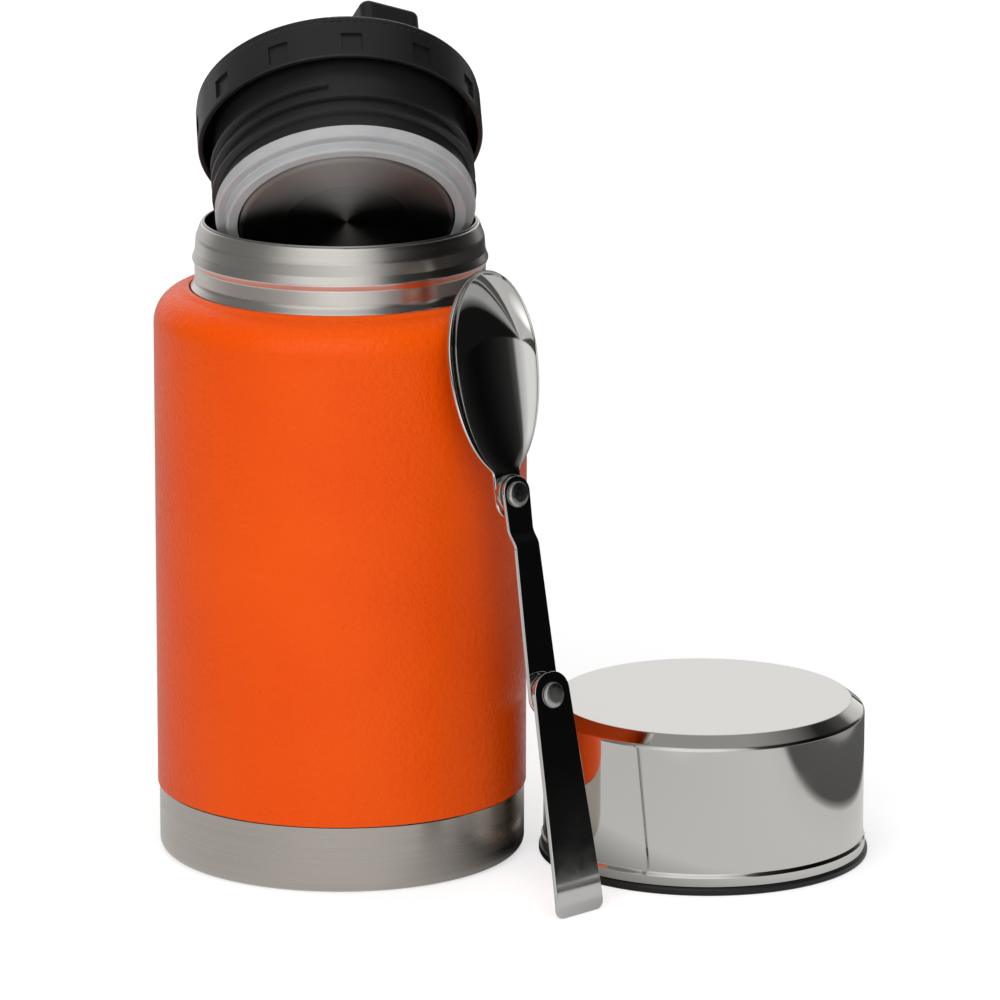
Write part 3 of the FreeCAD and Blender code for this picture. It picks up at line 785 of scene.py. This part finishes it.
@dataclass
class Spoon:
    """Folding spoon of three plates, leaning on the jar."""

    # Stainless steel, pressed and then buffed: it mirrors the room sharply.
    mirror: Steel = field(default_factory=lambda: Steel(
        "polished_spoon_steel", "D2D1CE", 0.05, Brushing.POLISHED))
    # Stainless steel, headed cold and tumbled: satin, with no direction in it.
    rivet: Steel = field(default_factory=lambda: Steel(
        "tumbled_rivet_steel", "C4C3C0", 0.34, Brushing.POLISHED))
    # Stainless steel, punched and polished in the drum: between the two.
    washer: Steel = field(default_factory=lambda: Steel(
        "polished_washer_steel", "B9B8B5", 0.16, Brushing.POLISHED))
    foot: Vector = field(default_factory=lambda: Vector((64.919, -66.293, 0.171)))
    azimuth: float = -45.6
    lean: float = 10.8
    gauge: float = 1.2
    edge_round: float = 0.25
    handle_length: float = 58.6
    handle_angle: float = -0.4
    curl_drop: float = 0.33
    curl_run: float = 9.5
    link_length: float = 53.2
    link_angle: float = 1.1
    link_plane: float = -3.0
    link_step: float = 1.8
    step_start: float = 14.0
    step_run: float = 5.0
    bowl_angle: float = 1.3
    bowl_plane: float = -7.2
    bowl_centre: float = 35.6
    bowl_width: float = 15.8
    bowl_tip: float = 23.5
    bowl_heel: float = 30.2
    bowl_depth: float = 6.2
    bowl_gauge: float = 1.0
    tip_power: float = 0.55
    heel_power: float = 0.8
    hollow_power: float = 0.62
    stem_width: float = 4.7
    stem_tail: float = 6.6
    stack_gap: float = 0.15

    def along(self, start: Vector, length: float, angle: float) -> Vector:
        """Give the point at a length from a start, turned clockwise from the long axis."""
        turn = math.radians(angle)
        return start + Vector((length * math.sin(turn), length * math.cos(turn), 0))

    def place(self, point: Vector, angle: float, plane: float) -> Matrix:
        """Give a piece's place from its pivot point, its angle and its layer.

        Args:
            point: Pivot point on the flat spoon.
            angle: Clockwise turn from the long axis.
            plane: Height of the piece's layer.

        Returns:
            Matrix from the piece's own frame to the row frame, in metres.
        """
        turn = Matrix.Rotation(math.radians(self.azimuth + 90), 4, "Z") @ Matrix.Rotation(
            math.radians(90 - self.lean), 4, "X")
        local = Matrix.Translation((point + Vector((0, 0, plane))) * MM) @ Matrix.Rotation(
            math.radians(-angle), 4, "Z")
        return Matrix.Translation(self.foot * MM) @ turn @ local

    def joggle(self, along: float) -> float:
        """Give how far the link has stepped back at a place along it."""
        part = min(1.0, max(0.0, (along - self.link_length + self.step_start) / self.step_run))
        return self.link_step * part * part * (3 - 2 * part)

    def foot_curl(self, along: float) -> float:
        """Give how far the handle's end curls back at a place along it."""
        return self.curl_drop * max(0.0, 1 - along / self.curl_run) ** 2

    def plate(self, name: str, corners: list[Corner], place: Matrix,
              bent: tuple[float, float], bend: Callable[[float], float]) -> Object:
        """Blank a plate, bend it and roll its edges round.

        Args:
            name: Piece name.
            corners: Outline of the plate.
            place: Where its own frame lies, in the middle of its thickness.
            bent: Start and end of the bent stretch.
            bend: Gives how far the plate is bent back at a place along it.

        Returns:
            The new object.
        """
        mesh = bmesh.new()
        low = -self.gauge / 2
        outline = rounded_outline(corners, 6.0)
        face = mesh.faces.new([mesh.verts.new((point.x, point.y, low)) for point in outline])
        made = bmesh.ops.extrude_face_region(mesh, geom=[face])["geom"]
        upper = [part for part in made if isinstance(part, BMVert)]
        bmesh.ops.translate(mesh, vec=(0, 0, self.gauge), verts=upper)
        for number in range(13):
            cut = bent[0] + (bent[1] - bent[0]) * number / 12
            everything = mesh.verts[:] + mesh.edges[:] + mesh.faces[:]
            bmesh.ops.bisect_plane(mesh, geom=everything, plane_co=(0, cut, 0), plane_no=(0, 1, 0))
        for point in mesh.verts:
            point.co.z -= bend(point.co.y)
        piece = finish_piece(name, mesh, place)
        rolled = piece.modifiers.new("rolled_edges", "BEVEL")
        rolled.width = self.edge_round * MM
        rolled.segments = 3
        rolled.angle_limit = math.radians(50)
        rolled.harden_normals = False
        # The edges are rolled before the shading is evened out.
        piece.modifiers.move(1, 0)
        return piece

    def half_width(self, reach: float) -> float:
        """Give the half width of the bowl and stem.

        Args:
            reach: Distance from the pivot.

        Returns:
            Half width, in millimetres.
        """
        side = self.bowl_tip if reach > self.bowl_centre else self.bowl_heel
        egg = self.bowl_width * math.sqrt(max(0.0, 1 - ((reach - self.bowl_centre) / side) ** 2))
        if reach > self.bowl_centre:
            return egg
        from_tail = reach + self.stem_tail
        stem = self.stem_width
        if from_tail < stem:
            stem = math.sqrt(max(0.0, stem ** 2 - (stem - from_tail) ** 2))
        return (stem ** 5 + egg ** 5) ** 0.2

    def sink(self, reach: float) -> float:
        """Give the depth of the bowl's middle.

        Args:
            reach: Distance from the pivot.

        Returns:
            Depth, in millimetres.
        """
        to_tip = reach > self.bowl_centre
        side = self.bowl_tip if to_tip else self.bowl_heel
        share = max(0.0, 1 - ((reach - self.bowl_centre) / side) ** 2)
        return self.bowl_depth * share ** (self.tip_power if to_tip else self.heel_power)

    def section(self, reach: float) -> list[tuple[float, float]]:
        """Give the closed section across the bowl or stem, in across and height.

        Args:
            reach: Distance from the pivot.

        Returns:
            Points of the section, hollow side first.
        """
        width = self.half_width(reach)
        depth = self.sink(reach)
        gauge = self.gauge + (self.bowl_gauge - self.gauge) * min(1.0, depth)
        edge = min(0.35, width / 2)
        inner = width - edge
        count = 28
        shares = [math.sin(math.pi * (number / count - 0.5)) for number in range(count + 1)]
        hollow = [(inner * share, -depth * max(0.0, 1 - share * share) ** self.hollow_power)
                  for share in shares]
        turns = [math.radians(turn) for turn in range(22, 180, 22)]
        right = [(inner + edge * math.sin(turn), -gauge / 2 + gauge / 2 * math.cos(turn))
                 for turn in turns]
        under = [(x, z - gauge) for x, z in reversed(hollow)]
        left = [(-x, z) for x, z in reversed(right)]
        return hollow + right + under + left

    def bowl(self, name: str, place: Matrix) -> Object:
        """Press the bowl and its stem in one piece.

        Args:
            name: Piece name.
            place: Where its own frame lies.

        Returns:
            The new object.
        """
        mesh = bmesh.new()
        low = -self.stem_tail
        high = self.bowl_centre + self.bowl_tip
        count = 120
        rings = []
        for number in range(count + 1):
            # The first and last rings stop just short of a point.
            share = 0.004 + 0.992 * number / count
            reach = (low + high) / 2 - (high - low) / 2 * math.cos(math.pi * share)
            rings.append([mesh.verts.new((x, reach, z)) for x, z in self.section(reach)])
        for first, second in zip(rings, rings[1:]):
            join_rings(mesh, first, second)
        mesh.faces.new(rings[0])
        mesh.faces.new(rings[-1])
        return finish_piece(name, mesh, place)

    def rivet_corners(self, low: float, high: float) -> list[Corner]:
        """Give the outline of a rivet with low rounded heads.

        Args:
            low: Height of the stack's back face.
            high: Height of its front face.

        Returns:
            Corners of the rivet's section, from its back to its front.
        """
        return [
            Corner(0, low - 0.9), Corner(2.6, low - 0.9, 0.3), Corner(3.5, low, 0.1),
            Corner(1.5, low), Corner(1.5, high), Corner(3.48, high, 0.1),
            Corner(3.2, high + 0.75, 0.5), Corner(2.2, high + 1.08, 1.2), Corner(0, high + 1.08),
        ]

    def washer_corners(self, low: float) -> list[Corner]:
        """Give the outline of a spacer washer from the height of its back face."""
        inner, outer, top = 1.55, 5.28, low + 1.5
        return [Corner(inner, low), Corner(outer, low, 0.25), Corner(outer, top, 0.25),
                Corner(inner, top)]

    def build(self) -> None:
        """Build and dress the spoon."""
        origin = Vector((0, 0, 0))
        lower = self.along(origin, self.handle_length, self.handle_angle)
        upper = self.along(lower, self.link_length, self.link_angle)
        mirror = self.mirror.build()
        start = self.place(origin, self.handle_angle, 0)
        handle = self.plate("handle_plate", [
            Corner(-8.4, 0, 2.4), Corner(8.4, 0, 2.4),
            Corner(6.1, 64.7, 5.6), Corner(-6.1, 64.7, 5.6),
        ], start, (2.6, self.curl_run), self.foot_curl)
        stand_in(handle, "spoon_end", "mirror_steel", mirror, "spoon_handle")
        step, end = self.link_length - self.step_start, self.link_length + 4.8
        middle = self.place(lower, self.link_angle, self.link_plane)
        link = self.plate("link_plate", [
            Corner(-5.3, -5.3, 4.87), Corner(5.3, -5.3, 4.87), Corner(4.2, step, 12.0),
            Corner(4.8, end, 4.41), Corner(-4.8, end, 4.41), Corner(-4.2, step, 12.0),
        ], middle, (step, step + self.step_run), self.joggle)
        stand_in(link, "spoon_middle", "mirror_steel", mirror, "spoon_link")
        bowl = self.bowl("bowl_and_stem", self.place(upper, self.bowl_angle, self.bowl_plane))
        stand_in(bowl, "spoon_scoop", "mirror_steel", mirror, "spoon_bowl")
        tumbled = self.rivet.build()
        washer = self.washer.build()
        half, gap = self.gauge / 2, self.stack_gap
        # Pivot point, back and front of its stack of plates, and back of its washer.
        layers = {
            "lower": (lower, self.link_plane - half - gap, half + gap,
                      self.link_plane + half + gap),
            "upper": (upper, self.bowl_plane - self.gauge - gap,
                      self.link_plane - self.link_step + half + gap, self.bowl_plane + gap),
        }
        for name, (point, low, high, spacer) in layers.items():
            place = self.place(point, 0, 0)
            rivet = turn_piece(name + "_rivet_head", self.rivet_corners(low, high), place, 64)
            stand_in(rivet, "spoon_middle", "mirror_steel", tumbled, name + "_rivet")
            ring = turn_piece(name + "_spacer", self.washer_corners(spacer), place, 96)
            stand_in(ring, "spoon_middle", "mirror_steel", washer, name + "_washer")


@dataclass(frozen=True)
class SoftBox:
    """One soft box over the table, in metres and watts."""

    name: str
    place: tuple[float, float, float]
    width: float
    height: float
    power: float

    def hang(self, target: Vector) -> None:
        """Hang the box, facing a point; polished surfaces do not show it.

        Args:
            target: Point it faces.
        """
        data = bpy.data.lights.new(self.name, "AREA")
        data.shape = "RECTANGLE"
        data.size = self.width
        data.size_y = self.height
        data.energy = self.power
        lamp = bpy.data.objects.new(self.name, data)
        lamp.location = self.place
        lamp.visible_glossy = False
        lamp.rotation_euler = (target - Vector(self.place)).to_track_quat("-Z", "Y").to_euler()
        bpy.context.scene.collection.objects.link(lamp)


@dataclass
class Studio:
    """White table, soft boxes and the camera."""

    camera_place: Vector = field(default_factory=lambda: Vector((0.06066, -1.7891, 0.5276)))
    pitch: float = 0.2367
    yaw: float = -0.0100
    roll: float = 0.0020
    lens: float = 246.2
    sensor: float = 36.0
    boxes: tuple[SoftBox, ...] = (
        SoftBox("left_box", (-1.0, -1.2, 0.9), 0.9, 1.2, 2.5),
        SoftBox("front_box", (-0.15, -1.9, 1.3), 2.2, 1.6, 40.0),
        SoftBox("top_box", (-0.1, 0.2, 1.8), 1.6, 1.2, 12.0))
    box_target: Vector = field(default_factory=lambda: Vector((0.0, 0.0, 0.1)))
    room_light: float = 0.2
    # What polished metal mirrors of the walls: direction from left to right, brightness.
    wall_stops: Stops = (
        (-1.0, 0.18), (-0.87, 0.22), (-0.77, 0.5), (-0.6, 0.8), (-0.4, 1.0), (0.2, 1.0),
        (0.54, 0.6), (0.62, 0.1), (0.75, 0.03), (1.0, 0.004))
    roof_share: float = 0.36
    roof_low: float = 0.7
    roof_high: float = 0.96
    floor_half: float = 12.0
    floor_share: float = 0.56
    bounce_share: float = 0.8
    # The table's own light, which burns it out to white away from the jar.
    glow_near: float = 0.6
    glow_far: float = 1.0
    white_near: float = 0.5
    white_far: float = 1.8
    # Painted reflection: the light and dark bands that polished metal mirrors of the table, which
    # glows with them only in reflections, along a slanted line over the reach.
    floor_reach: float = 0.7
    floor_slant: float = 21.7
    floor_stops: Stops = (
        (-1.0, 0.08), (-0.965, 0.15), (-0.93, 0.75), (-0.6, 0.8), (-0.36, 0.78), (-0.1, 0.7),
        (0.2, 0.78), (0.25, 0.74), (0.262, 0.11), (0.35, 0.13), (0.362, 0.42), (0.38, 0.45),
        (0.393, 0.05), (0.42, 0.05), (0.45, 0.5), (0.62, 0.5), (0.75, 0.2), (0.9, 0.01))
    floor_gloss: float = 0.9
    # Painted shade on the table's reflection between the jar and the cup, and a painted pool of
    # light on it before them, which gives the coat its sheen.
    shaded_spot: Vector = field(default_factory=lambda: Vector((0.073, 0.0, 0.0)))
    shaded_near: float = 0.024
    shaded_far: float = 0.08
    shaded_gloss: float = 0.03
    lit_spot: Vector = field(default_factory=lambda: Vector((-0.02, -0.42, 0.0)))
    lit_near: float = 0.08
    lit_far: float = 0.26
    lit_share: float = 2.4

    def build_camera(self) -> None:
        """Set up the camera at the photograph's place, direction and lens."""
        data = bpy.data.cameras.new("camera")
        data.sensor_fit = "HORIZONTAL"
        data.sensor_width = self.sensor
        data.lens = self.lens
        data.clip_end = 100.0
        forward = Vector((math.sin(self.yaw) * math.cos(self.pitch),
                          math.cos(self.yaw) * math.cos(self.pitch), -math.sin(self.pitch)))
        level = Vector((math.cos(self.yaw), -math.sin(self.yaw), 0.0))
        upright = level.cross(forward)
        right = level * math.cos(self.roll) + upright * math.sin(self.roll)
        up = upright * math.cos(self.roll) - level * math.sin(self.roll)
        turn = Matrix((right, up, -forward)).transposed().to_4x4()
        camera = bpy.data.objects.new("camera", data)
        camera.matrix_world = Matrix.Translation(self.camera_place) @ turn
        bpy.context.scene.collection.objects.link(camera)
        bpy.context.scene.camera = camera

    def side_shade(self, tree: NodeTree, across: NodeSocket, reach: float,
                   stops: Stops) -> NodeSocket:
        """Shade the studio from one side to the other.

        Args:
            tree: Node tree to add to.
            across: Place or direction across the studio.
            reach: Size of across at which the stops end.
            stops: Share of the reach, from -1 to 1, and brightness.

        Returns:
            Brightness socket.
        """
        share = add_node(tree, "MapRange", (across, -reach, reach, 0.0, 1.0))
        levels = [((place + 1) / 2, grey(level)) for place, level in stops]
        return add_node(tree, "ValToRGB", (share.outputs["Result"],), levels).outputs["Color"]

    def build_world(self) -> None:
        """Give the room white walls ahead and behind, and dark sides that only the metal shows."""
        world = bpy.data.worlds.new("studio")
        bpy.context.scene.world = world
        world.use_nodes = True
        tree = world.node_tree
        tree.nodes.clear()
        direction = add_node(tree, "TexCoord").outputs["Generated"]
        parts = add_node(tree, "SeparateXYZ", {"Vector": direction})
        flat = add_node(tree, "CombineXYZ", {"X": parts.outputs["X"], "Y": parts.outputs["Y"]})
        level = add_node(tree, "VectorMath", (flat,), operation="NORMALIZE")
        side = add_node(tree, "SeparateXYZ", {"Vector": level})
        shade = self.side_shade(tree, side.outputs["X"], 1.0, self.wall_stops)
        steep = add_node(tree, "MapRange", (
            parts.outputs["Z"], self.roof_low, self.roof_high, 0.0, 1.0))
        # Sockets 0, 6 and 7 are the factor and the two colours of a colour mix.
        room = add_node(tree, "Mix", {
            0: steep, 6: shade, 7: grey(self.roof_share)}, data_type="RGBA")
        path = add_node(tree, "LightPath")
        gloss = add_node(tree, "Background", {"Color": room.outputs[2], "Strength": 1.0})
        soft = add_node(tree, "Background", {"Color": WHITE, "Strength": self.room_light})
        seen = add_node(tree, "Background", {"Color": WHITE, "Strength": 1.0})
        lit = add_node(tree, "MixShader", {
            "Fac": path.outputs["Is Glossy Ray"],
            1: soft, 2: gloss})
        both = add_node(tree, "MixShader", {
            "Fac": path.outputs["Is Camera Ray"],
            1: lit, 2: seen})
        add_node(tree, "OutputWorld", {"Surface": both})

    def build_floor(self) -> None:
        """Lay the white table, which keeps the soft shadows, and which shows polished metal a
        painted reflection of light and shade.
        """
        mesh = bpy.data.meshes.new("table")
        half = self.floor_half
        corners = [(-half, -half, 0), (half, -half, 0), (half, half, 0), (-half, half, 0)]
        mesh.from_pydata(corners, [], [(0, 1, 2, 3)])
        table = bpy.data.objects.new("table", mesh)
        bpy.context.scene.collection.objects.link(table)
        material = bpy.data.materials.new("white_table")
        material.use_nodes = True
        tree = material.node_tree
        tree.nodes.clear()
        place = add_node(tree, "TexCoord").outputs["Object"]
        away = add_node(tree, "VectorMath", (place,), operation="LENGTH")
        glow = add_node(tree, "MapRange", (
            away.outputs["Value"], self.white_near, self.white_far, self.glow_near, self.glow_far))
        matt = add_node(tree, "BsdfDiffuse", {"Color": grey(self.floor_share)})
        lift = add_node(tree, "Emission", {"Color": WHITE, "Strength": glow})
        seen = add_node(tree, "AddShader", {0: matt, 1: lift})
        slant = math.radians(self.floor_slant)
        line = (math.cos(slant), math.sin(slant), 0.0)
        across = add_node(tree, "VectorMath", (place, line), operation="DOT_PRODUCT")
        shade = self.side_shade(tree, across.outputs["Value"], self.floor_reach, self.floor_stops)
        # Painted shade: the table's reflection darkens between the jar and the cup.
        gap = add_node(tree, "VectorMath", (place, self.shaded_spot), operation="DISTANCE")
        dark = add_node(tree, "MapRange", (
            gap.outputs["Value"], self.shaded_near, self.shaded_far, self.shaded_gloss,
            self.floor_gloss))
        # Painted pool of light: the table's reflection brightens before the jar, for the coat's
        # sheen.
        pool = add_node(tree, "VectorMath", (place, self.lit_spot), operation="DISTANCE")
        bright = add_node(tree, "MapRange", (
            pool.outputs["Value"], self.lit_near, self.lit_far, self.lit_share, 1.0))
        strength = add_node(tree, "Math", (
            dark, bright), operation="MULTIPLY")
        # Painted reflection: the table glows with these bands, the painted shade and the painted
        # pool of light, seen only by glossy rays.
        painted_reflection = add_node(tree, "Emission", {
            "Color": shade, "Strength": strength})
        bounce = add_node(tree, "BsdfDiffuse", {"Color": grey(self.bounce_share)})
        path = add_node(tree, "LightPath")
        other = add_node(tree, "MixShader", {
            "Fac": path.outputs["Is Glossy Ray"],
            1: bounce, 2: painted_reflection})
        both = add_node(tree, "MixShader", {
            "Fac": path.outputs["Is Camera Ray"],
            1: other, 2: seen})
        add_node(tree, "OutputMaterial", {"Surface": both})
        mesh.materials.append(material)

    def build(self) -> None:
        """Set up the whole studio."""
        self.build_camera()
        self.build_world()
        self.build_floor()
        for box in self.boxes:
            box.hang(self.box_target)


def main() -> None:
    """Load the frame, build and dress every piece and set up the studio."""
    logging.basicConfig(level=logging.INFO, format="%(message)s")
    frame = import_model()
    bpy.context.scene.view_settings.view_transform = "Standard"
    nodes = frame["nodes"]
    Jar().build(nodes)
    Stopper().build(nodes)
    Cup().build(nodes)
    Spoon().build()
    Studio().build()


if __name__ == "__main__":
    main()
